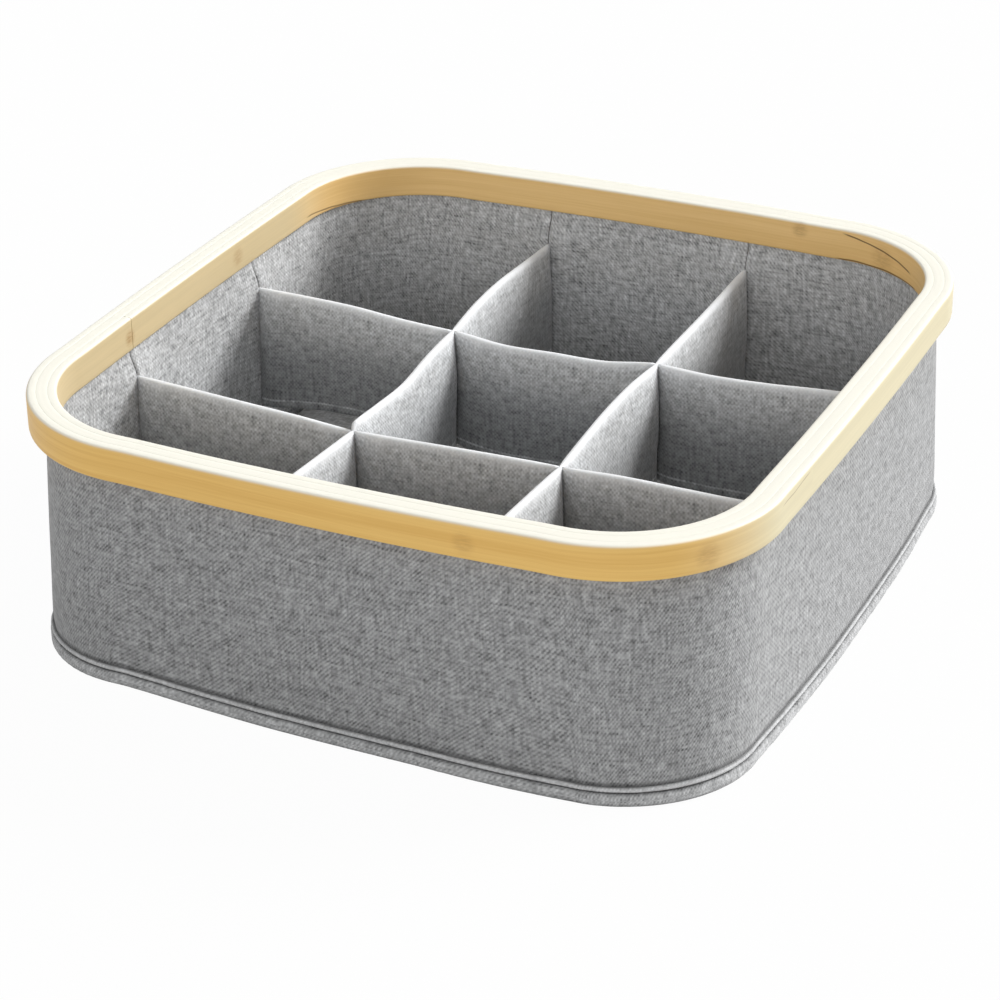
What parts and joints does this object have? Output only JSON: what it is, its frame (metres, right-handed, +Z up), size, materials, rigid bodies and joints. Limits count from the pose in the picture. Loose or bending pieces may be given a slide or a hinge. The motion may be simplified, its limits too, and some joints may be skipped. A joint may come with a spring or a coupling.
{
  "type": "compartment storage basket",
  "caption": "Low fabric storage basket with a laminated bamboo rim, rounded corners and sewn padded dividers that part it into a grid of open compartments.",
  "frame": {"origin": "middle of the underside, on the surface that the basket stands on", "axes": "+Z up, -Y the front, +X to the right seen from the front"},
  "size_m": [0.3222, 0.3394, 0.1126],
  "materials": {
    "bamboo": "pale natural bamboo, sanded and lightly sealed, edges eased",
    "bamboo_core": "pale natural bamboo ply, its edge sanded flush",
    "cover_cloth": "grey heathered linen-look twill",
    "lining_cloth": "grey heathered linen-look twill",
    "divider_cloth": "grey heathered linen-look twill, folded and sewn",
    "hem_cloth": "grey heathered linen-look twill, rolled and top-stitched",
    "base_cloth": "grey heathered linen-look twill, flat",
    "stiffener_board": "dense grey-brown board, hidden inside the cloth"
  },
  "bodies": {
    "root": {"back_row_left_board": "stiffener_board", "back_row_left_sleeve": "divider_cloth", "back_row_middle_board": "stiffener_board", "back_row_middle_sleeve": "divider_cloth", "back_row_right_board": "stiffener_board", "back_row_right_sleeve": "divider_cloth", "back_wall_board": "stiffener_board", "base_board": "stiffener_board", "base_cover": "base_cloth", "floor_lining": "lining_cloth", "front_row_left_board": "stiffener_board", "front_row_left_sleeve": "divider_cloth", "front_row_middle_board": "stiffener_board", "front_row_middle_sleeve": "divider_cloth", "front_row_right_board": "stiffener_board", "front_row_right_sleeve": "divider_cloth", "front_wall_board": "stiffener_board", "hem_piping": "hem_cloth", "left_column_back_board": "stiffener_board", "left_column_front_board": "stiffener_board", "left_column_middle_board": "stiffener_board", "left_column_sleeve": "divider_cloth", "lining_back_left_corner": "lining_cloth", "lining_back_middle": "lining_cloth", "lining_back_right_corner": "lining_cloth", "lining_front_left_corner": "lining_cloth", "lining_front_middle": "lining_cloth", "lining_front_right_corner": "lining_cloth", "lining_left_middle": "lining_cloth", "lining_right_middle": "lining_cloth", "outer_cover": "cover_cloth", "right_column_back_board": "stiffener_board", "right_column_front_board": "stiffener_board", "right_column_middle_board": "stiffener_board", "right_column_sleeve": "divider_cloth", "rim_inner_ply": "bamboo", "rim_middle_ply": "bamboo_core", "rim_outer_ply": "bamboo", "rolled_hem": "hem_cloth"}
  },
  "joints": []
}
